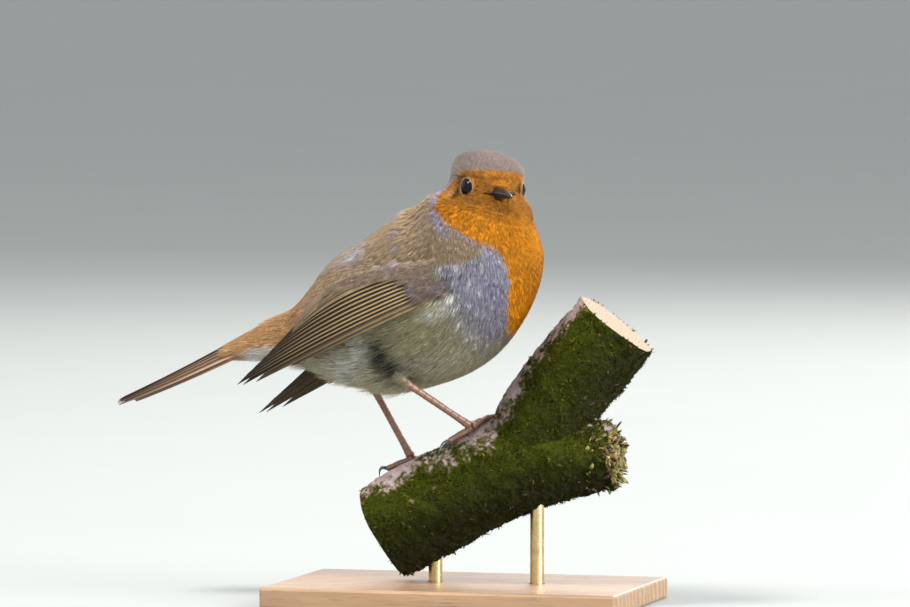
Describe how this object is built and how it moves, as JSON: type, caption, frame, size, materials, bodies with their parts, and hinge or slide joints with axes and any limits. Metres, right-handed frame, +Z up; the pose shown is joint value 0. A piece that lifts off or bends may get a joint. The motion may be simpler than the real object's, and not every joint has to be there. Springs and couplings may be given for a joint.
{
  "type": "european robin on a perch",
  "caption": "Still, life-size model of a European robin gripping a short cut length of branch, held by rods on a flat base.",
  "frame": {"origin": "centre of the underside of the stand's base", "axes": "+X the way the bird's body looks, +Y the bird's left, +Z up"},
  "size_m": [0.1564, 0.064, 0.1297],
  "materials": {
    "back_plumage": "soft feathers, matt",
    "orange_plumage": "soft feathers, matt",
    "thigh_plumage": "soft feathers, matt",
    "wing_feathers": "smooth feather vanes, satin",
    "flight_feathers": "smooth feather vanes, satin",
    "tail_feathers": "smooth feather vanes, satin",
    "bill_horn": "dark horn, half gloss",
    "eye": "dark and glossy",
    "leg_scales": "fine scales, satin",
    "claw_horn": "dark horn, half gloss",
    "bark": "rough bark with moss",
    "base_wood": "oiled, satin",
    "rod_brass": "brushed"
  },
  "bodies": {
    "root": {"trunk": "back_plumage", "neck": "orange_plumage", "head": "orange_plumage", "thigh_right": "thigh_plumage", "thigh_left": "thigh_plumage", "wing_right": "wing_feathers", "wing_left": "wing_feathers", "flight_feathers_right": "flight_feathers", "flight_feathers_left": "flight_feathers", "tail": "tail_feathers", "bill_upper": "bill_horn", "bill_lower": "bill_horn", "eye_right": "eye", "eye_left": "eye", "tarsus_right": "leg_scales", "tarsus_left": "leg_scales", "foot_right": "leg_scales", "foot_left": "leg_scales", "claw_hallux_right": "claw_horn", "claw_inner_right": "claw_horn", "claw_middle_right": "claw_horn", "claw_outer_right": "claw_horn", "claw_hallux_left": "claw_horn", "claw_inner_left": "claw_horn", "claw_middle_left": "claw_horn", "claw_outer_left": "claw_horn", "perch_branch": "bark", "stand_base": "base_wood", "stand_rod_1": "rod_brass", "stand_rod_2": "rod_brass"}
  },
  "joints": []
}
